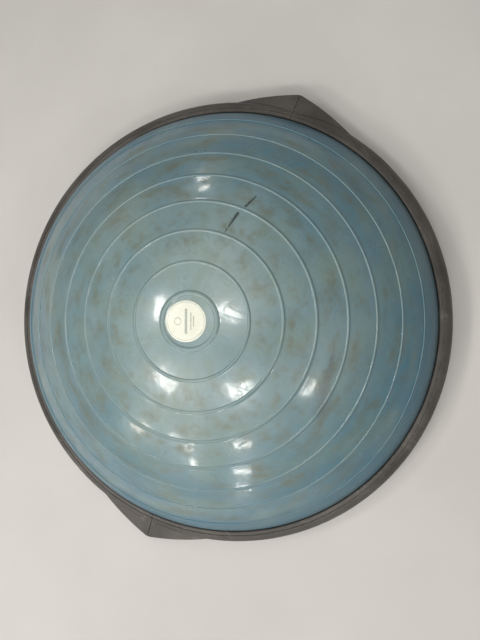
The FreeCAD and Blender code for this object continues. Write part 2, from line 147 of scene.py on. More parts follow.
# place, then width and height, in metres
lamps = [
    ((0.15, -0.04, 2.30), (0.38, 0.24)),
    ((-0.20, 1.19, 2.19), (0.42, 0.26)),
    ((-1.36, 0.71, 1.99), (0.44, 0.30)),
    ((-1.11, -0.67, 2.16), (0.46, 0.30)),
    ((-0.64, -1.78, 1.69), (0.34, 0.16)),
    ((1.97, 1.30, 0.90), (0.18, 0.13)),
    ((1.93, 1.24, 1.16), (0.16, 0.08)),
    ((-2.09, 0.93, 1.04), (0.20, 0.15)),
    ((-2.07, 0.79, 1.19), (0.18, 0.10)),
    ((-2.12, 0.28, 1.32), (0.16, 0.12)),
    ((-2.21, 0.01, 1.22), (0.16, 0.14)),
    ((-2.35, -0.09, 0.90), (0.10, 0.22)),
    ((-1.93, -0.86, 1.39), (0.32, 0.13)),
    ((-2.22, -0.88, 0.85), (0.28, 0.10)),
    ((-2.35, -0.85, 0.42), (0.20, 0.14)),
]
for number, (lamp_place, size) in enumerate(lamps, start=1):
    power = lamp_brightness * math.pi * size[0] * size[1]
    soft_panel(f"lamp_{number}", lamp_place, size, power, warm)
print("lights:", len(bpy.data.lights))

# %% Set the background
world = bpy.data.worlds.new("studio")
bpy.context.scene.world = world
world.use_nodes = True
world.node_tree.nodes["Background"].inputs["Color"].default_value = (0.80, 0.83, 0.87, 1.0)
world.node_tree.nodes["Background"].inputs["Strength"].default_value = 0.055
bpy.context.scene.view_settings.view_transform = "Standard"

# %% [markdown]
# A flat sheet would end in a hard horizon line when the camera comes down low. Studios use a cove: a
# floor that curves up into a wall. Here the curved wall goes all the way round, so every view has the
# same plain background. It is a piece of its own, because a glossy dome should not mirror it, nor take
# light from it: only the camera sees it.

# %% Lay the floor
floor_radius = 3.4
cove_radius = 1.6
wall_top = 5.0
floor_gap = 0.0002  # keeps the floor clear of the feet
floor_height = cad_box[0][2] - floor_gap
turns_round = 96
cove_steps = 12
cove_curve = [math.pi / 2 * k / cove_steps for k in range(cove_steps + 1)]
cove_profile = []
for a in cove_curve:
    cove_profile.append((floor_radius + cove_radius * math.sin(a), cove_radius * (1 - math.cos(a))))
cove_profile.append((floor_radius + cove_radius, wall_top))


def make_mesh_object(name, mesh):
    piece = bpy.data.objects.new(name, mesh)
    bpy.context.scene.collection.objects.link(piece)
    return piece


def turned_sheet(name, profile):
    """An open sheet: a profile of (radius, height) points turned about the centre."""
    points = []
    for r, z in profile:
        around = [2 * math.pi * k / turns_round for k in range(turns_round)]
        points += [(r * math.cos(a), r * math.sin(a), z) for a in around]
    faces = []
    for low in range(0, len(points) - turns_round, turns_round):
        for k in range(turns_round):
            n = (k + 1) % turns_round
            faces.append((low + k, low + turns_round + k, low + turns_round + n, low + n))
    mesh = bpy.data.meshes.new(name)
    mesh.from_pydata(points, [], faces)
    mesh.shade_smooth()
    sheet = make_mesh_object(name, mesh)
    sheet.location.z = floor_height
    return sheet


floor_middle = 0.0001
floor_bend = 0.9  # a ring of points that keeps the faces near the trainer small
floor = turned_sheet("floor", [(floor_middle, 0.0), (floor_bend, 0.0), (floor_radius, 0.0)])
backdrop = turned_sheet("backdrop", cove_profile)
backdrop.visible_diffuse = False
backdrop.visible_glossy = False
backdrop.visible_shadow = False

# %% [markdown]
# ## Shader building blocks
# The trainer's finishes share a few effects: a fine moulded grain, dust that settles on what faces up,
# wear along edges, hair-thin scratches and small specks. Each one is a node group with named inputs and
# outputs. It is built once here, and each material places it with its own values. A group gives out only
# masks, heights and normals. The shader itself stays in the material.

# %% Helpers for node trees
def add(tree, kind, **settings):
    """A new node. Settings that name an input set its value, and the others set a property."""
    made = tree.nodes.new(kind)
    for key, value in settings.items():
        if hasattr(made, key):
            setattr(made, key, value)
        else:
            made.inputs[key.replace("_", " ")].default_value = value
    return made


def join(tree, *pairs):
    for source, target in pairs:
        tree.links.new(source, target)


def new_group(name, inputs, outputs):
    """An empty node group. Inputs are name: default, outputs are name: socket kind."""
    tree = bpy.data.node_groups.new(name, "ShaderNodeTree")
    for label, value in inputs.items():
        socket = tree.interface.new_socket(label, in_out="INPUT", socket_type="NodeSocketFloat")
        socket.default_value = value
    for label, kind in outputs.items():
        tree.interface.new_socket(label, in_out="OUTPUT", socket_type=kind)
    return tree, tree.nodes.new("NodeGroupInput"), tree.nodes.new("NodeGroupOutput")


def math_node(tree, operation, a, b=None):
    """A Math node. Each of a and b is a socket or a number."""
    made = tree.nodes.new("ShaderNodeMath")
    made.operation = operation
    for slot, value in enumerate((a, b)):
        if value is None:
            continue
        if isinstance(value, (int, float)):
            made.inputs[slot].default_value = value
        else:
            tree.links.new(value, made.inputs[slot])
    return made.outputs["Value"]


def multiply(tree, first, *others):
    """The product of sockets and numbers."""
    product = first
    for factor in others:
        product = math_node(tree, "MULTIPLY", product, factor)
    return product


def spread(tree, value, low, high, to_low=0.0, to_high=1.0):
    """Stretches low..high to to_low..to_high, and clamps."""
    made = add(tree, "ShaderNodeMapRange", From_Min=low, From_Max=high, To_Min=to_low, To_Max=to_high)
    tree.links.new(value, made.inputs["Value"])
    return made.outputs["Result"]


def mix_colour(tree, share, under, over):
    """Mixes two colours. Each of them is a socket or a tuple."""
    made = tree.nodes.new("ShaderNodeMix")
    made.data_type = "RGBA"
    tree.links.new(share, made.inputs[0])
    for slot, value in ((6, under), (7, over)):
        if isinstance(value, tuple):
            made.inputs[slot].default_value = (*value, 1.0)
        else:
            tree.links.new(value, made.inputs[slot])
    return made.outputs[2]


def lay_over(tree, under, over, mask, strength):
    """Lays a colour over another one, as far as the mask and the strength say."""
    return mix_colour(tree, multiply(tree, mask, strength), under, over)


def noise_at(tree, vector, scale, detail=3.0, roughness=0.55, distortion=0.0):
    made = add(tree, "ShaderNodeTexNoise", Detail=detail, Roughness=roughness, Distortion=distortion)
    tree.links.new(vector, made.inputs["Vector"])
    if isinstance(scale, (int, float)):
        made.inputs["Scale"].default_value = scale
    else:
        tree.links.new(scale, made.inputs["Scale"])
    return made.outputs["Fac"]


# %% [markdown]
# ### Moulded grain
# Hard black plastic leaves its mould with a fine etched grain, so its gloss looks soft. A Voronoi
# pattern gives the small pits and a noise breaks up their rows. The group gives out a height for a Bump
# node.

# %% Group: moulded grain
grain_group, enter, leave = new_group("moulded_grain", {"Scale": 900.0}, {"Height": "NodeSocketFloat"})
here = grain_group.nodes.new("ShaderNodeTexCoord").outputs["Object"]
pits = add(grain_group, "ShaderNodeTexVoronoi")
join(grain_group, (here, pits.inputs["Vector"]), (enter.outputs["Scale"], pits.inputs["Scale"]))
rough_rows = noise_at(grain_group, here, enter.outputs["Scale"], 2.0)
pit_height = multiply(grain_group, pits.outputs["Distance"], 0.6)
join(grain_group, (math_node(grain_group, "ADD", pit_height, rough_rows), leave.inputs["Height"]))

# %% [markdown]
# ### Settled dust
# Dust lies on faces that look up, thicker in some places. The face's own normal says how far it looks
# up, and two noises, one broad and one fine, make the film uneven.

# %% Group: settled dust
dust_inputs = {"Amount": 0.5, "Patch Scale": 9.0}
dust_group, enter, leave = new_group("settled_dust", dust_inputs, {"Mask": "NodeSocketFloat"})
here = dust_group.nodes.new("ShaderNodeTexCoord").outputs["Object"]
facing = dust_group.nodes.new("ShaderNodeNewGeometry")
upward = add(dust_group, "ShaderNodeSeparateXYZ")
join(dust_group, (facing.outputs["Normal"], upward.inputs[0]))
looks_up = spread(dust_group, upward.outputs["Z"], 0.0, 0.9, 0.12, 1.0)
patches = noise_at(dust_group, here, enter.outputs["Patch Scale"], 5.0, 0.62)
patches = spread(dust_group, patches, 0.34, 0.68)
fine = spread(dust_group, noise_at(dust_group, here, 420.0, 3.0), 0.30, 0.70, 0.55, 1.0)
film = multiply(dust_group, looks_up, patches, fine)
join(dust_group, (multiply(dust_group, film, enter.outputs["Amount"]), leave.inputs["Mask"]))

# %% [markdown]
# ### Edge wear
# Corners are rubbed pale by hands, shoes and storage racks. The Bevel node gives the normal that a
# rounded edge would have. Where it differs from the flat normal there is an edge, and a noise breaks the
# line up.

# %% Group: edge wear
wear_inputs = {"Reach": 0.0012, "Amount": 0.7}
wear_group, enter, leave = new_group("edge_wear", wear_inputs, {"Mask": "NodeSocketFloat"})
here = wear_group.nodes.new("ShaderNodeTexCoord").outputs["Object"]
rounded = add(wear_group, "ShaderNodeBevel", samples=4)
flat = wear_group.nodes.new("ShaderNodeNewGeometry")
alike = add(wear_group, "ShaderNodeVectorMath", operation="DOT_PRODUCT")
join(
    wear_group,
    (enter.outputs["Reach"], rounded.inputs["Radius"]),
    (rounded.outputs["Normal"], alike.inputs[0]),
    (flat.outputs["Normal"], alike.inputs[1]),
)
edge_line = spread(wear_group, alike.outputs["Value"], 0.995, 0.86)
broken = spread(wear_group, noise_at(wear_group, here, 160.0, 4.0, 0.7), 0.38, 0.62)
worn = multiply(wear_group, edge_line, broken, enter.outputs["Amount"])
join(wear_group, (worn, leave.inputs["Mask"]))

# %% [markdown]
# ### Hairline scratches
# Grit leaves thin, slightly curved lines. They could be drawn one by one as curves. Here they are the
# places where a smooth noise passes through its middle value: that is always a thin line. A second,
# broad noise keeps only parts.

# %% Group: hairline scratches
hair_inputs = {"Scale": 14.0, "Width": 0.0035, "Amount": 0.6}
hair_group, enter, leave = new_group("hairline_scratches", hair_inputs, {"Mask": "NodeSocketFloat"})
here = hair_group.nodes.new("ShaderNodeTexCoord").outputs["Object"]
layers = []
for turn, stretch in ((0.4, 0.22), (1.9, 0.16), (2.7, 0.30)):
    laid = add(hair_group, "ShaderNodeMapping")
    laid.inputs["Rotation"].default_value = (0.0, 0.0, turn)
    laid.inputs["Scale"].default_value = (1.0, stretch, 1.0)
    join(hair_group, (here, laid.inputs["Vector"]))
    wave = noise_at(hair_group, laid.outputs["Vector"], enter.outputs["Scale"], 1.0, 0.4)
    off_middle = math_node(hair_group, "ABSOLUTE", math_node(hair_group, "SUBTRACT", wave, 0.5))
    share = math_node(hair_group, "DIVIDE", off_middle, enter.outputs["Width"])
    line = math_node(hair_group, "SUBTRACT", 1.0, share)
    layers.append(math_node(hair_group, "MAXIMUM", line, 0.0))
lines = math_node(hair_group, "MAXIMUM", math_node(hair_group, "MAXIMUM", layers[0], layers[1]), layers[2])
kept = spread(hair_group, noise_at(hair_group, here, 26.0, 2.0), 0.50, 0.62)
seen = multiply(hair_group, lines, kept, enter.outputs["Amount"])
join(hair_group, (seen, leave.inputs["Mask"]))

# %% [markdown]
# ### Specks
# Lint and crumbs of dirt are small separate dots. A Voronoi cell holds one dot, and its random colour
# decides whether the dot is there at all.

# %% Group: specks
speck_inputs = {"Scale": 120.0, "Share": 0.12, "Size": 0.16}
speck_group, enter, leave = new_group("specks", speck_inputs, {"Mask": "NodeSocketFloat"})
here = speck_group.nodes.new("ShaderNodeTexCoord").outputs["Object"]
cells = add(speck_group, "ShaderNodeTexVoronoi")
chance = add(speck_group, "ShaderNodeSeparateColor")
join(
    speck_group,
    (here, cells.inputs["Vector"]),
    (enter.outputs["Scale"], cells.inputs["Scale"]),
    (cells.outputs["Color"], chance.inputs[0]),
)
is_kept = math_node(speck_group, "LESS_THAN", chance.outputs["Red"], enter.outputs["Share"])
is_near = math_node(speck_group, "LESS_THAN", cells.outputs["Distance"], enter.outputs["Size"])
join(speck_group, (multiply(speck_group, is_kept, is_near), leave.inputs["Mask"]))
print("shader groups:", [g.name for g in bpy.data.node_groups if g.type == "SHADER"])


# %% [markdown]
# ### A start for every material
# Each finish is one Principled BSDF with its own steady values. The function below makes the empty
# material, and another places a group in it.

# %% Start a material
def new_material(name, **steady):
    """A material with a Principled BSDF. Steady values are set on the shader's own sockets."""
    material = bpy.data.materials.new(name)
    material.use_nodes = True
    tree = material.node_tree
    shader = tree.nodes["Principled BSDF"]
    for key, value in steady.items():
        shader.inputs[key.replace("_", " ")].default_value = value
    return material, tree, shader


def place(tree, group, output, **values):
    """Places a shader group with its values, and gives one of its outputs."""
    made = tree.nodes.new("ShaderNodeGroup")
    made.node_tree = group
    for key, value in values.items():
        made.inputs[key.replace("_", " ")].default_value = value
    return made.outputs[output]


def bump(tree, height, depth, strength=1.0, under=None):
    """A Bump node. Depth is in metres, and under is the normal that it adds to."""
    made = add(tree, "ShaderNodeBump", Distance=depth, Strength=strength)
    tree.links.new(height, made.inputs["Height"])
    if under is not None:
        tree.links.new(under, made.inputs["Normal"])
    return made.outputs["Normal"]


def object_point(tree):
    return tree.nodes.new("ShaderNodeTexCoord").outputs["Object"]


# %% [markdown]
# ## The floor's finish
# The floor is matt and pale. A faint mottling keeps it from looking like an empty picture. The wall
# glows a little by itself, as if it had its own lamps, and more so higher up.

# %% Finish: floor and backdrop
floor_finish, tree, shader = new_material("floor_finish", Roughness=0.75)
here = object_point(tree)
mottle = spread(tree, noise_at(tree, here, 3.0, 6.0), 0.3, 0.7)
pale = mix_colour(tree, mottle, (0.44, 0.435, 0.425), (0.49, 0.485, 0.475))
join(tree, (pale, shader.inputs["Base Color"]))
floor.data.materials.append(floor_finish)

backdrop_finish, tree, shader = new_material("backdrop_finish", Roughness=0.9, Emission_Strength=1.0)
here = object_point(tree)
rise = add(tree, "ShaderNodeSeparateXYZ")
join(tree, (here, rise.inputs[0]))
upward = spread(tree, rise.outputs["Z"], 0.0, 2.6)
glow = mix_colour(tree, upward, (0.165, 0.163, 0.160), (0.34, 0.34, 0.34))
join(tree, (glow, shader.inputs["Emission Color"]))
shader.inputs["Base Color"].default_value = (0.40, 0.395, 0.385, 1.0)
backdrop.data.materials.append(backdrop_finish)

# %% [markdown]
# ## The dome
# The dome is one moulded PVC skin, about 3 mm thick. Air pressure holds it in the shape of a ball's cap,
# and beside the ring it turns down in a tighter curve. Seven raised beads run round it, and an eighth
# one rings the label. A modelled half sphere with displaced loops would do, but it is hard to keep the
# beads round and even that way. So the profile is written as a curve from the crown to the flange, and
# turned about the centre.
#
# The sizes below are those of the clamped skin. The crown's height and the flange's radius come from the
# frame.

# %% Dome: sizes
dome_low, dome_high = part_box("dome_skin")
crown_height = dome_high.z
flange_radius = dome_high.x
flange_low = dome_low.z
skin = 0.0032
flange_thickness = 0.003
flange_reach = 0.0063
flange_fillet = 0.0024
flange_edge = 0.0004
straight_neck = 0.004
weld_lip = 0.008
shoulder_width = 0.0175
shoulder_height = 0.089
neck_lean = math.radians(18.4)

neck_radius = flange_radius - flange_reach
shoulder_start = neck_radius - shoulder_width
crown_rise = crown_height - shoulder_height
ball_radius = (crown_rise**2 + shoulder_start**2) / (2 * crown_rise)
ball_centre = crown_height - ball_radius
shoulder_lift = math.asin(shoulder_start / ball_radius)
neck_tilt = math.pi / 2 - neck_lean
shoulder_radius = shoulder_width / (math.sin(neck_tilt) - math.sin(shoulder_lift))
shoulder_along = ball_radius * shoulder_lift
print("ball radius:", round(ball_radius, 4), "skin's length to the shoulder:", round(shoulder_along, 4))

# %% Dome: beads
bead_width = 0.0046
bead_height = 0.0012
label_bead = 0.034
label_bead_width = 0.0070
label_bead_height = 0.0014
first_bead = 0.072
last_bead = shoulder_along - 0.0062
bead_count = 7
bead_pitch = (last_bead - first_bead) / (bead_count - 1)
past_last_bead = 0.03
beads = [(label_bead, label_bead_width, label_bead_height)]
beads += [(first_bead + k * bead_pitch, bead_width, bead_height) for k in range(bead_count)]
print("beads, from the crown along the skin:", [round(place, 3) for place, width, height in beads])


def bead_at(along):
    """Share and height of the nearest bead: the share is 1 on top of the bead and 0 beside it."""
    place, width, height = min(beads, key=lambda bead: abs(along - bead[0]))
    away = abs(along - place)
    share = math.cos(math.pi * away / width) ** 1.5 if away < width / 2 else 0.0
    return share, height


def band_share(along):
    """1 halfway between two beads, 0 on a bead. Shoes rub and stain the skin most in between."""
    places = [place for place, width, height in beads]
    before = max([place for place in places if place <= along], default=0.0)
    after = min([place for place in places if place > along], default=shoulder_along + past_last_bead)
    return math.sin(math.pi * min(1.0, (along - before) / (after - before)))


# %% [markdown]
# The profile is a list of points, each with its distance along the skin. It is dense where a bead is,
# and open elsewhere, so that the mesh spends its faces where the shape turns.

# %% Dome: profile
def skin_point(along, inset=0.0):
    """Radius and height of the skin at a distance from the crown, moved in by inset."""
    if along <= shoulder_along:
        lift = along / ball_radius
        r = (ball_radius - inset) * math.sin(lift)
        return r, ball_centre + (ball_radius - inset) * math.cos(lift)
    lift = shoulder_lift + (along - shoulder_along) / shoulder_radius
    centre_r = (ball_radius - shoulder_radius) * math.sin(shoulder_lift)
    centre_z = ball_centre + (ball_radius - shoulder_radius) * math.cos(shoulder_lift)
    arm = shoulder_radius - inset
    return centre_r + arm * math.sin(lift), centre_z + arm * math.cos(lift)


def skin_steps(open_step, bead_step):
    """Distances along the skin, close together across each bead."""
    end = shoulder_along + shoulder_radius * (neck_tilt - shoulder_lift)
    steps = {round(k * open_step, 6) for k in range(1, int(end / open_step) + 1)}
    for s, width, height in beads:
        half = width / 2 + bead_step
        steps = {a for a in steps if abs(a - s) > half}
        count = int(2 * half / bead_step)
        steps |= {round(s - half + k * bead_step, 6) for k in range(count + 1)}
    return sorted(a for a in steps if a < end - 0.001) + [end]


outer_steps = skin_steps(0.003, 0.00042)
print("points across the dome:", len(outer_steps))


# swells per metre, a shift that makes each noise another one, and the height in metres
swells = [(11.0, 3.1, 0.00025), (34.0, 7.7, 0.00012), (82.0, 1.9, 0.000065), (165.0, 5.3, 0.000018)]


def unevenness(x, y):
    """Slow swells of the soft skin, in metres. They fade out towards the ring, which holds it round."""
    fade = max(0.0, 1.0 - (math.hypot(x, y) / neck_radius) ** 6)
    return fade * sum(height * noise.noise(Vector((x * k, y * k, shift))) for k, shift, height in swells)


# %% Dome: turn the profile
dome_segments = 300
inner_rings = 60
fillet_steps = 4
bead_waver = 0.10


def ring_of(mesh, r, z, lift_by=None):
    """One ring of vertices. lift_by moves each of them up by a function of its place."""
    made = []
    for k in range(dome_segments):
        a = 2 * math.pi * k / dome_segments
        x, y = r * math.cos(a), r * math.sin(a)
        made.append(mesh.verts.new((x, y, z + (lift_by(x, y, a) if lift_by else 0.0))))
    return made


def stitch(mesh, one, two):
    """Quads between two rings."""
    count = len(one)
    for k in range(count):
        n = (k + 1) % count
        mesh.faces.new((one[k], two[k], two[n], one[n]))


def fan(mesh, centre, ring, flip=False):
    count = len(ring)
    for k in range(count):
        n = (k + 1) % count
        corners = (centre, ring[k], ring[n])
        mesh.faces.new(corners[::-1] if flip else corners)


def build_dome():
    mesh = bmesh.new()
    along_layer = mesh.verts.layers.float.new("along")
    bead_layer = mesh.verts.layers.float.new("bead")
    band_layer = mesh.verts.layers.float.new("band")
    top = mesh.verts.new((0.0, 0.0, crown_height + unevenness(0.0, 0.0)))
    rings = []
    for along in outer_steps:
        r, z = skin_point(along)
        share, height = bead_at(along)
        lift = min(along / ball_radius, neck_tilt)

        def raised(x, y, a, tall=share * height / math.cos(lift), along=along):
            waver = bead_waver * noise.noise(Vector((x * 20.0, y * 20.0, along * 9.0)))
            return unevenness(x, y) + tall * (1.0 + waver)

        ring = ring_of(mesh, r, z, raised)
        for v in ring:
            v[along_layer] = along
            v[bead_layer] = share
            v[band_layer] = band_share(along)
        rings.append(ring)
    end_along = outer_steps[-1]
    flange_top = flange_low + flange_thickness
    tail = [(neck_radius, flange_top + flange_fillet + straight_neck)]
    for k in range(fillet_steps + 1):
        turn = math.pi / 2 * k / fillet_steps
        r = neck_radius + flange_fillet * (1 - math.cos(turn))
        tail.append((r, flange_top + flange_fillet * (1 - math.sin(turn))))
    tail += [(flange_radius - flange_edge, flange_top), (flange_radius, flange_top - flange_edge)]
    tail += [(flange_radius, flange_low + flange_edge), (flange_radius - flange_edge, flange_low)]
    inner_neck = neck_radius - skin
    tail += [(inner_neck - weld_lip, flange_low), (inner_neck - weld_lip, flange_top)]
    tail += [(inner_neck, flange_top), (inner_neck, skin_point(end_along, skin)[1] - straight_neck / 2)]
    for r, z in tail:
        ring = ring_of(mesh, r, z)
        for v in ring:
            v[along_layer] = end_along
        rings.append(ring)
    for k in range(inner_rings, 0, -1):
        r, z = skin_point(end_along * k / inner_rings, skin)
        rings.append(ring_of(mesh, r, z, lambda x, y, a: unevenness(x, y)))
    bottom = mesh.verts.new((0.0, 0.0, crown_height - skin + unevenness(0.0, 0.0)))
    fan(mesh, top, rings[0])
    for one, two in zip(rings, rings[1:]):
        stitch(mesh, one, two)
    fan(mesh, bottom, rings[-1], flip=True)
    bmesh.ops.recalc_face_normals(mesh, faces=mesh.faces)
    data = bpy.data.meshes.new("dome")
    mesh.to_mesh(data)
    mesh.free()
    return make_mesh_object("dome", data)


dome = build_dome()
print("dome faces:", len(dome.data.polygons))

# %% [markdown]
# ### The hole for the valve
# The air valve sits low on the dome's side. Its hole is cut with a Boolean modifier, because the hole
# crosses the turned mesh at an angle. The cutter is a plain cylinder along the valve's axis, and is
# removed afterwards. The axis is the direction in which the CAD frame lets the plug slide.

# %% Dome: cut the valve hole
plug_joint = next(j for j in frame["joints"] if j["name"] == "plug_pull")
valve_axis = Vector(plug_joint["axis"]).normalized()
valve_past_shoulder = 0.0145
valve_r, valve_z = skin_point(shoulder_along + valve_past_shoulder)
valve_point = Vector((0.0, valve_r, valve_z))
valve_frame = valve_axis.to_track_quat("Z", "X").to_matrix().to_4x4()
valve_frame.translation = valve_point
hole_radius = 0.0093
hole_inside = -0.02
hole_outside = 0.01


def shape_from_profile(name, profile, segments, where=Matrix.Identity(4)):
    """Turns a closed profile of (radius, height) points into a solid. A radius of 0 is a pole."""
    mesh = bmesh.new()
    rings = []
    for r, z in profile:
        if r == 0.0:
            rings.append([mesh.verts.new((0.0, 0.0, z))])
            continue
        turns = [2 * math.pi * k / segments for k in range(segments)]
        rings.append([mesh.verts.new((r * math.cos(a), r * math.sin(a), z)) for a in turns])
    closed = rings if len(rings[0]) == 1 and len(rings[-1]) == 1 else rings + [rings[0]]
    for one, two in zip(closed, closed[1:]):
        if len(one) == 1:
            fan(mesh, one[0], two)
        elif len(two) == 1:
            fan(mesh, two[0], one, flip=True)
        else:
            stitch(mesh, one, two)
    bmesh.ops.recalc_face_normals(mesh, faces=mesh.faces)
    mesh.transform(where)
    data = bpy.data.meshes.new(name)
    mesh.to_mesh(data)
    mesh.free()
    return make_mesh_object(name, data)


def apply_modifiers(piece):
    """Replaces the piece's mesh with what its modifiers make of it."""
    bpy.context.view_layer.update()
    seen = piece.evaluated_get(bpy.context.evaluated_depsgraph_get())
    data = bpy.data.meshes.new_from_object(seen)
    piece.modifiers.clear()
    piece.data = data


def cut(piece, cutter):
    """Cuts cutter out of piece, and removes cutter."""
    boolean = piece.modifiers.new("cut", "BOOLEAN")
    boolean.operation = "DIFFERENCE"
    boolean.solver = "EXACT"
    boolean.object = cutter
    apply_modifiers(piece)
    bpy.data.objects.remove(cutter)


hole_profile = [(0.0, hole_inside), (hole_radius, hole_inside)]
hole_profile += [(hole_radius, hole_outside), (0.0, hole_outside)]
cut(dome, shape_from_profile("hole_cutter", hole_profile, 64, valve_frame))
print("valve at", [round(v, 4) for v in valve_point], "faces after the cut:", len(dome.data.polygons))


def smooth(piece, sharp_angle=40.0):
    """Smooth shading, with edges kept sharp where the surface turns more than sharp_angle."""
    limit = math.radians(sharp_angle)
    mesh = bmesh.new()
    mesh.from_mesh(piece.data)
    for face in mesh.faces:
        face.smooth = True
    for rim in mesh.edges:
        rim.smooth = len(rim.link_faces) != 2 or rim.calc_face_angle(0.0) < limit
    mesh.to_mesh(piece.data)
    mesh.free()


smooth(dome)

# %% [markdown]
# ### The dome's finish
# The skin is teal blue PVC with a wax-like gloss. Years of shoes have left a film of grey dust near the
# top, olive brown smudges in the bands between the beads, dark dirt along the ring, and a few black rubber
# scuffs. The bead tops are painted slightly paler, partly as rubbed wear and partly as a painted
# highlight. Painted shade darkens the corner beside each bead, and turns the skin a deeper teal towards
# the ring. The smudges run round the dome, so the noise for them is asked at a point made of the
# direction from the centre and the distance along the skin.

# %% Finish: dome, where a point is
dome_gloss = {"Specular_IOR_Level": 0.6, "Coat_Roughness": 0.095, "IOR": 1.50}
dome_finish, tree, shader = new_material("worn_dome_pvc", **dome_gloss)
here = object_point(tree)
along = add(tree, "ShaderNodeAttribute", attribute_name="along").outputs["Fac"]
bead = add(tree, "ShaderNodeAttribute", attribute_name="bead").outputs["Fac"]
band = add(tree, "ShaderNodeAttribute", attribute_name="band").outputs["Fac"]
spot = add(tree, "ShaderNodeSeparateXYZ")
level = tree.nodes.new("ShaderNodeCombineXYZ")
outward = add(tree, "ShaderNodeVectorMath", operation="NORMALIZE")
join(
    tree,
    (here, spot.inputs[0]),
    (spot.outputs["X"], level.inputs["X"]),
    (spot.outputs["Y"], level.inputs["Y"]),
    (level.outputs[0], outward.inputs[0]),
)


def round_the_dome(turns, steps):
    """A point for a noise: turns says how often it changes round the dome, steps per metre along it."""
    scaled = add(tree, "ShaderNodeVectorMath", operation="SCALE")
    scaled.inputs["Scale"].default_value = turns
    lifted = tree.nodes.new("ShaderNodeCombineXYZ")
    summed = add(tree, "ShaderNodeVectorMath", operation="ADD")
    join(
        tree,
        (outward.outputs[0], scaled.inputs[0]),
        (multiply(tree, along, steps), lifted.inputs["Z"]),
        (scaled.outputs[0], summed.inputs[0]),
        (lifted.outputs[0], summed.inputs[1]),
    )
    return summed.outputs[0]


# %% Finish: dome, colour of the skin
clean_teal = (0.056, 0.148, 0.206)
faded_grey = (0.262, 0.335, 0.322)
green_tint = (0.155, 0.218, 0.190)
olive_smudge = (0.098, 0.104, 0.068)
dust_colour = (0.37, 0.39, 0.355)
# Pale colour: for scratches, and for the bead tops, where it is partly wear and partly a painted
# highlight.
pale_wear_and_sheen = (0.215, 0.298, 0.295)
# Dark teal: painted shade on the skin near the ring.
ring_shade_teal = (0.034, 0.098, 0.142)
# Dark olive: dirt along the ring and specks, and also the painted shade at each bead's foot.
dirt_and_corner_shade = (0.060, 0.075, 0.062)
rubbed_brown = (0.085, 0.082, 0.078)
scuff_black = (0.014, 0.018, 0.018)

centre_share = spread(tree, along, 0.30, 0.05)
broad = spread(tree, noise_at(tree, here, 6.5, 5.0, 0.6), 0.32, 0.68)
uneven_fade = math_node(tree, "ADD", multiply(tree, broad, 0.55), 0.45)
fading = multiply(tree, uneven_fade, centre_share)
colour = mix_colour(tree, fading, clean_teal, faded_grey)
greener = spread(tree, noise_at(tree, round_the_dome(3.2, 24.0), 1.0, 4.0, 0.6), 0.42, 0.66)
colour = lay_over(tree, colour, green_tint, greener, 0.55)

# %% Finish: dome, smudges
print_shapes = spread(tree, noise_at(tree, round_the_dome(5.2, 46.0), 1.0, 3.0, 0.55), 0.46, 0.68)
small_shapes = spread(tree, noise_at(tree, round_the_dome(13.0, 110.0), 1.0, 2.0, 0.5), 0.50, 0.74)
rubbed_in = spread(tree, noise_at(tree, here, 90.0, 4.0, 0.6), 0.32, 0.60, 0.55, 1.0)
worn_zone = multiply(tree, spread(tree, along, 0.045, 0.10), spread(tree, along, 0.328, 0.290))
smudge = math_node(tree, "ADD", print_shapes, multiply(tree, small_shapes, 0.5))
smudge = multiply(tree, smudge, rubbed_in, worn_zone)
smudge = multiply(tree, smudge, spread(tree, band, 0.10, 0.75, 0.25, 1.0))
smudge = math_node(tree, "MINIMUM", smudge, 1.0)
colour = lay_over(tree, colour, olive_smudge, smudge, 0.66)

# %% Finish: dome, dust and beads
dust = place(tree, dust_group, "Mask", Amount=0.22, Patch_Scale=8.0)
dust = multiply(tree, dust, spread(tree, along, 0.32, 0.12, 0.30, 1.0))
colour = mix_colour(tree, dust, colour, dust_colour)
# Partly rubbed wear and partly a painted highlight: the bead tops are painted paler.
bead_top_patches = spread(tree, noise_at(tree, round_the_dome(16.0, 20.0), 1.0, 3.0), 0.30, 0.62, 0.45, 1.0)
bead_top_wear_and_sheen = multiply(tree, spread(tree, bead, 0.30, 0.85), bead_top_patches)
colour = lay_over(tree, colour, pale_wear_and_sheen, bead_top_wear_and_sheen, 0.24)
# Painted shade: a darker line in the corner at the foot of each bead.
bead_foot_shade = multiply(tree, spread(tree, bead, 0.0, 0.10), spread(tree, bead, 0.42, 0.18))
colour = lay_over(tree, colour, dirt_and_corner_shade, bead_foot_shade, 0.58)
skin_end = outer_steps[-1]
# Painted shade: the skin turns a deeper teal over the last stretch before the ring.
by_the_ring = spread(tree, along, skin_end - 0.060, skin_end - 0.022)
colour = lay_over(tree, colour, ring_shade_teal, by_the_ring, 0.68)
last_stretch = spread(tree, along, skin_end - 0.016, skin_end - 0.003)
patchy = spread(tree, noise_at(tree, here, 30.0, 5.0, 0.65), 0.35, 0.62)
grime = multiply(tree, last_stretch, patchy)
colour = lay_over(tree, colour, dirt_and_corner_shade, grime, 0.65)

# %% [markdown]
# ### Scuffs
# Black soles leave marks where they slide. Each mark is a short straight stroke between two places on
# the dome, each given as a distance from the centre line and a direction. The mask is 1 near the
# stroke's line, it starts thin and ends at its full width, and a noise frays it. A wide, faint stroke is
# a rubbed patch, and a pale one is a scrape.

# %% Finish: dome, scuffs
black_strokes = [((0.1148, -0.8), (0.1424, -2.7), 0.0034), ((0.1715, -6.1), (0.1544, -4.5), 0.0031)]
rubbed_strokes = [((0.172, -83.5), (0.187, -106.0), 0.015)]
pale_strokes = [((0.290, -88.8), (0.2925, -88.0), 0.0016)]


def flat_place(radius, degrees):
    a = math.radians(degrees)
    return Vector((radius * math.cos(a), radius * math.sin(a), 0.0))


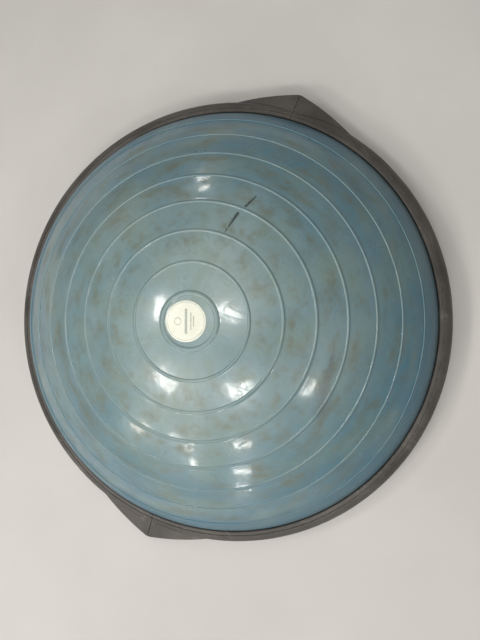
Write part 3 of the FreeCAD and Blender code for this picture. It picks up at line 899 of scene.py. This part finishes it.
def stroke_mask(start, end, width, fray):
    """1 on the line from start to end, 0 beside it. fray is a socket that eats into it."""
    way = end - start
    relative = add(tree, "ShaderNodeVectorMath", operation="SUBTRACT")
    relative.inputs[1].default_value = start
    dot = add(tree, "ShaderNodeVectorMath", operation="DOT_PRODUCT")
    dot.inputs[1].default_value = way / way.length_squared
    foot_point = add(tree, "ShaderNodeVectorMath", operation="SCALE")
    foot_point.inputs[0].default_value = way
    gap = add(tree, "ShaderNodeVectorMath", operation="DISTANCE")
    join(tree, (level.outputs[0], relative.inputs[0]), (relative.outputs[0], dot.inputs[0]))
    done = spread(tree, dot.outputs["Value"], 0.0, 1.0)
    join(
        tree,
        (done, foot_point.inputs["Scale"]),
        (relative.outputs[0], gap.inputs[0]),
        (foot_point.outputs[0], gap.inputs[1]),
    )
    frayed = math_node(tree, "ADD", gap.outputs["Value"], multiply(tree, fray, width * 0.45))
    tapered = math_node(tree, "DIVIDE", frayed, spread(tree, done, 0.0, 0.7, 0.4, 1.0))
    return spread(tree, tapered, width, width * 0.30)


fray = spread(tree, noise_at(tree, here, 240.0, 3.0, 0.7), 0.35, 0.75)


def all_strokes(strokes):
    total = None
    for start, end, width in strokes:
        mask = stroke_mask(flat_place(*start), flat_place(*end), width, fray)
        total = mask if total is None else math_node(tree, "MAXIMUM", total, mask)
    return total


black_scuff = all_strokes(black_strokes)
rubbed_patch = all_strokes(rubbed_strokes)
pale_scuff = all_strokes(pale_strokes)
hairs = place(tree, hair_group, "Mask", Scale=12.0, Width=0.0032, Amount=0.7)
lint = place(tree, speck_group, "Mask", Scale=95.0, Share=0.035, Size=0.10)
colour = lay_over(tree, colour, pale_wear_and_sheen, hairs, 0.30)
colour = lay_over(tree, colour, dirt_and_corner_shade, lint, 0.45)
colour = lay_over(tree, colour, rubbed_brown, rubbed_patch, 0.45)
colour = lay_over(tree, colour, dust_colour, pale_scuff, 0.35)
colour = lay_over(tree, colour, scuff_black, black_scuff, 0.92)
join(tree, (colour, shader.inputs["Base Color"]))

# %% [markdown]
# The gloss follows the same masks: smudges and dust are dull, and clean skin shines. A clear coat adds
# the sharp spots of light that soft PVC shows over its wider sheen. Grit has left short scratches
# everywhere, and they break those spots up. Two bumps finish it: a fine ripple that the mould leaves,
# and the scratches.

# %% Finish: dome, gloss and relief
smear = spread(tree, noise_at(tree, here, 22.0, 6.0, 0.7, 0.8), 0.30, 0.70)
grit = place(tree, hair_group, "Mask", Scale=31.0, Width=0.010, Amount=1.0)
scoured = spread(tree, noise_at(tree, round_the_dome(16.0, 520.0), 1.0, 5.0, 0.7, 0.6), 0.44, 0.60)
dulled = ((smudge, 0.14), (dust, 0.16), (bead, 0.42), (grit, 0.08), (by_the_ring, 0.12))
dulled += ((pale_scuff, 0.25), (black_scuff, 0.20))
roughness = math_node(tree, "ADD", multiply(tree, smear, 0.10), 0.24)
for mask, dulling in dulled:
    roughness = math_node(tree, "ADD", roughness, multiply(tree, mask, dulling))
join(tree, (math_node(tree, "MINIMUM", roughness, 0.9), shader.inputs["Roughness"]))
coat_losses = ((smudge, 0.30), (dust, 0.4), (bead, 0.75), (grit, 0.50), (scoured, 0.50))
coat_losses += ((pale_scuff, 0.6), (black_scuff, 0.6), (by_the_ring, 0.8))
coat = math_node(tree, "SUBTRACT", 0.85, multiply(tree, smear, 0.20))
for mask, dulling in coat_losses:
    coat = math_node(tree, "SUBTRACT", coat, multiply(tree, mask, dulling))
join(tree, (math_node(tree, "MAXIMUM", coat, 0.0), shader.inputs["Coat Weight"]))
ripple = bump(tree, noise_at(tree, here, 70.0, 4.0, 0.6), 0.00022, 0.55)
leather = bump(tree, noise_at(tree, here, 620.0, 3.0, 0.6), 0.00004, 0.5, under=ripple)
scratches = math_node(tree, "ADD", hairs, grit)
scratched = bump(tree, math_node(tree, "SUBTRACT", 1.0, scratches), 0.00004, 0.4, under=leather)
join(tree, (scratched, shader.inputs["Normal"]))
dome.data.materials.clear()
dome.data.materials.append(dome_finish)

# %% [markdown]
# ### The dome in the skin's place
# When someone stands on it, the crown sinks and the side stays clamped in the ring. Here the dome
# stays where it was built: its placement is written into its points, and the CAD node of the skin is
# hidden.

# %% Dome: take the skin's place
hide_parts("dome_skin")
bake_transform(dome)

# %% [markdown]
# ## The label
# A round film is glued to the crown inside the smallest bead. It is thin and follows every swell of the
# skin under it. It is built as rings of points that are dropped on the dome's surface, then given a top,
# a rounded edge and an underside. The print is left generic: a plain border, a small ring and three
# bars.

# %% Label: film
label_radius = 0.025
label_thickness = 0.0004
label_lift = 0.00002  # keeps the film's underside clear of the skin
label_rings = 20
label_low_rings = 6
label_low, label_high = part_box("crown_label")
label_centre = Vector(((label_low.x + label_high.x) / 2, (label_low.y + label_high.y) / 2, 0.0))
label_segments = 128


def skin_height(x, y):
    """Height of the dome's surface above a place near the crown."""
    r = math.hypot(x, y)
    return ball_centre + math.sqrt(ball_radius**2 - r * r) + unevenness(x, y)


def build_label():
    mesh = bmesh.new()
    edge_round = label_thickness * 0.5
    top_radii = [label_radius * k / label_rings for k in range(1, label_rings)]
    top_radii.append(label_radius - edge_round)
    top_rings = [(r, label_thickness) for r in top_radii] + [(label_radius, edge_round)]
    low_rings = [(label_radius * k / label_low_rings, label_lift) for k in range(label_low_rings, 0, -1)]

    def point(r, a, rise):
        x = label_centre.x + r * math.cos(a)
        y = label_centre.y + r * math.sin(a)
        return mesh.verts.new((x, y, skin_height(x, y) + rise))

    rings = []
    for r, rise in top_rings + low_rings:
        rings.append([point(r, 2 * math.pi * k / label_segments, rise) for k in range(label_segments)])
    fan(mesh, point(0.0, 0.0, label_thickness), rings[0])
    for one, two in zip(rings, rings[1:]):
        stitch(mesh, one, two)
    fan(mesh, point(0.0, 0.0, label_lift), rings[-1], flip=True)
    bmesh.ops.recalc_face_normals(mesh, faces=mesh.faces)
    data = bpy.data.meshes.new("label")
    mesh.to_mesh(data)
    mesh.free()
    return make_mesh_object("label", data)


label = build_label()
smooth(label, 60.0)

# %% Finish: label
label_finish, tree, shader = new_material("printed_film", Coat_Weight=0.35, Coat_Roughness=0.12)
here = object_point(tree)
reading_turn = math.radians(19.5)  # direction of the print, from the X axis
laid = add(tree, "ShaderNodeMapping", vector_type="TEXTURE")
laid.inputs["Location"].default_value = label_centre
laid.inputs["Rotation"].default_value = (0.0, 0.0, reading_turn)
axes = tree.nodes.new("ShaderNodeSeparateXYZ")
join(tree, (here, laid.inputs["Vector"]), (laid.outputs["Vector"], axes.inputs[0]))
across, up_the_label = axes.outputs["X"], axes.outputs["Y"]
on_label = tree.nodes.new("ShaderNodeCombineXYZ")
join(tree, (across, on_label.inputs["X"]), (up_the_label, on_label.inputs["Y"]))


def printed_ring(centre, radius, half_width):
    """A printed circle on the label, centred at a place across and up the label."""
    away = add(tree, "ShaderNodeVectorMath", operation="DISTANCE")
    away.inputs[1].default_value = (*centre, 0.0)
    join(tree, (on_label.outputs[0], away.inputs[0]))
    off = math_node(tree, "ABSOLUTE", math_node(tree, "SUBTRACT", away.outputs["Value"], radius))
    return spread(tree, off, half_width, half_width * 0.6)


def printed_bar(centre, half_length, half_width):
    along_bar = math_node(tree, "ABSOLUTE", math_node(tree, "SUBTRACT", across, centre[0]))
    up_bar = math_node(tree, "ABSOLUTE", math_node(tree, "SUBTRACT", up_the_label, centre[1]))
    inside = spread(tree, along_bar, half_length, half_length - 0.0003)
    return multiply(tree, inside, spread(tree, up_bar, half_width, half_width * 0.6))


prints = [
    printed_ring((0.0, 0.0), 0.0228, 0.00035),
    printed_ring((0.0, 0.0098), 0.0042, 0.00055),
    printed_bar((0.0, -0.0005), 0.0150, 0.0019),
    printed_bar((0.0, -0.0065), 0.0105, 0.0008),
    printed_bar((0.0, -0.0098), 0.0065, 0.0008),
]
ink = prints[0]
for mark in prints[1:]:
    ink = math_node(tree, "MAXIMUM", ink, mark)
rubbed = spread(tree, noise_at(tree, here, 380.0, 4.0, 0.7), 0.30, 0.55, 0.45, 1.0)
ink = multiply(tree, ink, rubbed, 0.72)
aged = spread(tree, noise_at(tree, here, 60.0, 5.0), 0.30, 0.70)
colour = mix_colour(tree, aged, (0.62, 0.645, 0.555), (0.69, 0.705, 0.635))
colour = mix_colour(tree, ink, colour, (0.115, 0.165, 0.150))
grime = place(tree, dust_group, "Mask", Amount=0.20, Patch_Scale=70.0)
colour = mix_colour(tree, grime, colour, (0.42, 0.43, 0.37))
hairs = place(tree, hair_group, "Mask", Scale=40.0, Width=0.006, Amount=0.5)
colour = lay_over(tree, colour, (0.33, 0.35, 0.31), hairs, 0.35)
dull = spread(tree, noise_at(tree, here, 120.0, 4.0), 0.3, 0.7, 0.26, 0.44)
relief = bump(tree, noise_at(tree, here, 300.0, 3.0), 0.00004, 0.5)
join(
    tree,
    (colour, shader.inputs["Base Color"]),
    (dull, shader.inputs["Roughness"]),
    (relief, shader.inputs["Normal"]),
)
label.data.materials.append(label_finish)
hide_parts("crown_label")
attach(label, "crown")
print("label radius:", label_radius)

# %% [markdown]
# ## Black plastic: the ring and the platform
# Both are moulded in black plastic with a fine grain. The ring's top has caught years of dust and shoe
# scuffs, so it looks brown grey from above, while the platform's side stays darker. One function makes
# both finishes from the same groups, with other amounts: this is where building the effects as groups
# pays off. The CAD shapes are right, so the nodes stay and only get the finish.

# %% Finish: black plastic
def black_plastic(name, base, dusty, dust_amount, streaks, grain_scale):
    finish, tree, shader = new_material(name, Specular_IOR_Level=0.45)
    here = object_point(tree)
    broad = spread(tree, noise_at(tree, here, 12.0, 6.0, 0.62), 0.32, 0.68)
    lighter = tuple(min(1.0, c * 1.55 + 0.006) for c in base)
    colour = mix_colour(tree, broad, base, lighter)
    film = place(tree, dust_group, "Mask", Amount=dust_amount, Patch_Scale=14.0)
    colour = mix_colour(tree, film, colour, dusty)
    worn = place(tree, wear_group, "Mask", Reach=0.0011, Amount=0.55)
    colour = mix_colour(tree, worn, colour, (0.21, 0.20, 0.19))
    hairs = place(tree, hair_group, "Mask", Scale=18.0, Width=0.004, Amount=streaks)
    colour = lay_over(tree, colour, (0.24, 0.23, 0.215), hairs, 0.5)
    crumbs = place(tree, speck_group, "Mask", Scale=150.0, Share=0.06, Size=0.15)
    colour = lay_over(tree, colour, (0.30, 0.285, 0.26), crumbs, 0.4)
    smear = spread(tree, noise_at(tree, here, 30.0, 5.0, 0.65), 0.3, 0.7, 0.40, 0.58)
    roughness = math_node(tree, "ADD", smear, multiply(tree, film, 0.30))
    roughness = math_node(tree, "SUBTRACT", roughness, multiply(tree, worn, 0.12))
    grain = place(tree, grain_group, "Height", Scale=grain_scale)
    rounded = add(tree, "ShaderNodeBevel", samples=4, Radius=0.0007)
    etched = bump(tree, grain, 0.00009, 0.75, under=rounded.outputs["Normal"])
    sunk = bump(tree, noise_at(tree, here, 9.0, 2.0), 0.0006, 0.12, under=etched)
    join(tree, (colour, shader.inputs["Base Color"]), (roughness, shader.inputs["Roughness"]))
    join(tree, (sunk, shader.inputs["Normal"]))
    return finish


def dress(node, finish):
    """Gives a carried-over CAD node one finish."""
    piece = nodes[node]
    piece.data.materials.clear()
    piece.data.materials.append(finish)


ring_black, ring_dust = (0.032, 0.030, 0.028), (0.165, 0.148, 0.132)
platform_black, platform_dust = (0.030, 0.029, 0.028), (0.190, 0.176, 0.160)
ring_finish = black_plastic("dusty_ring_plastic", ring_black, ring_dust, 0.42, 0.55, 1050.0)
platform_finish = black_plastic("dark_platform_plastic", platform_black, platform_dust, 0.60, 0.80, 800.0)
for half in ("retaining_ring_front", "retaining_ring_rear"):
    dress(half, ring_finish)
dress("base_platform", platform_finish)

# %% [markdown]
# ## Soft rubber and small parts
# The feet are black rubber: matt, a little grey where they touch the floor. The valve's bushing is the
# dome's own soft PVC, cleaner than the dome because no shoe reaches it. The plug is harder plastic with
# a dull shine.

# %% Finish: rubber and soft PVC
def soft_finish(name, base, worn_colour, gloss, grain_scale, grain_depth):
    """A soft or satin moulded finish. gloss is the lowest and the highest roughness."""
    finish, tree, shader = new_material(name, Specular_IOR_Level=0.35)
    here = object_point(tree)
    broad = spread(tree, noise_at(tree, here, 45.0, 5.0, 0.6), 0.3, 0.7)
    colour = mix_colour(tree, broad, base, tuple(c * 1.35 for c in base))
    worn = place(tree, wear_group, "Mask", Reach=0.0010, Amount=0.7)
    colour = mix_colour(tree, worn, colour, worn_colour)
    film = place(tree, dust_group, "Mask", Amount=0.30, Patch_Scale=40.0)
    colour = mix_colour(tree, film, colour, worn_colour)
    roughness = spread(tree, noise_at(tree, here, 90.0, 4.0), 0.3, 0.7, *gloss)
    grain = place(tree, grain_group, "Height", Scale=grain_scale)
    join(
        tree,
        (colour, shader.inputs["Base Color"]),
        (roughness, shader.inputs["Roughness"]),
        (bump(tree, grain, grain_depth, 0.8), shader.inputs["Normal"]),
    )
    return finish


rubber, rubber_worn = (0.022, 0.022, 0.022), (0.11, 0.105, 0.10)
valve_blue, valve_worn = (0.105, 0.165, 0.190), (0.22, 0.26, 0.26)
plug_blue, plug_worn = (0.055, 0.070, 0.078), (0.17, 0.19, 0.195)
foot_finish = soft_finish("matt_foot_rubber", rubber, rubber_worn, (0.62, 0.82), 1300.0, 0.00010)
valve_finish = soft_finish("clean_valve_pvc", valve_blue, valve_worn, (0.34, 0.50), 900.0, 0.00004)
plug_finish = soft_finish("dull_plug_plastic", plug_blue, plug_worn, (0.28, 0.42), 1500.0, 0.00003)
for number in range(1, 9):
    dress(f"foot_{number}", foot_finish)
dress("valve_stem", valve_finish)
dress("valve_plug", plug_finish)
dress("bladder_floor", valve_finish)

# %% [markdown]
# The screws are steel with a thin zinc plating. Plating looks like metal with small cloudy patches, and
# a fine brushed line from the wire that the screws were rolled from.

# %% Finish: plated steel
steel_finish, tree, shader = new_material("plated_steel", Metallic=1.0)
here = object_point(tree)
cloud = spread(tree, noise_at(tree, here, 260.0, 5.0, 0.65), 0.3, 0.7)
colour = mix_colour(tree, cloud, (0.42, 0.42, 0.41), (0.60, 0.60, 0.58))
tarnish = spread(tree, noise_at(tree, here, 900.0, 3.0), 0.60, 0.75)
colour = lay_over(tree, colour, (0.20, 0.16, 0.12), tarnish, 0.5)
brushed = add(tree, "ShaderNodeMapping")
brushed.inputs["Scale"].default_value = (1.0, 1.0, 14.0)
join(tree, (here, brushed.inputs["Vector"]))
lines = noise_at(tree, brushed.outputs["Vector"], 500.0, 2.0)
join(
    tree,
    (colour, shader.inputs["Base Color"]),
    (spread(tree, cloud, 0.0, 1.0, 0.28, 0.46), shader.inputs["Roughness"]),
    (bump(tree, lines, 0.00003, 0.6), shader.inputs["Normal"]),
)
for group in ("foot_screws", "ring_screws", "handle_screws"):
    dress(group, steel_finish)

# %% [markdown]
# The disc in the middle of the underside is where such a trainer has its name plate. It stays blank:
# satin grey plastic, with fine scratches from being slid over floors.

# %% Finish: badge
badge_finish, tree, shader = new_material("satin_badge_plastic", Specular_IOR_Level=0.5)
here = object_point(tree)
mottle = spread(tree, noise_at(tree, here, 35.0, 5.0), 0.3, 0.7)
colour = mix_colour(tree, mottle, (0.20, 0.205, 0.21), (0.255, 0.26, 0.265))
hairs = place(tree, hair_group, "Mask", Scale=30.0, Width=0.006, Amount=0.8)
colour = lay_over(tree, colour, (0.42, 0.42, 0.42), hairs, 0.6)
worn = place(tree, wear_group, "Mask", Reach=0.0012, Amount=0.8)
colour = mix_colour(tree, worn, colour, (0.45, 0.45, 0.45))
grain = place(tree, grain_group, "Height", Scale=1400.0)
join(
    tree,
    (colour, shader.inputs["Base Color"]),
    (spread(tree, mottle, 0.0, 1.0, 0.32, 0.48), shader.inputs["Roughness"]),
    (bump(tree, grain, 0.00004, 0.6), shader.inputs["Normal"]),
)
dress("underside_badge", badge_finish)
print("finishes:", [m.name for m in bpy.data.materials if m.users])
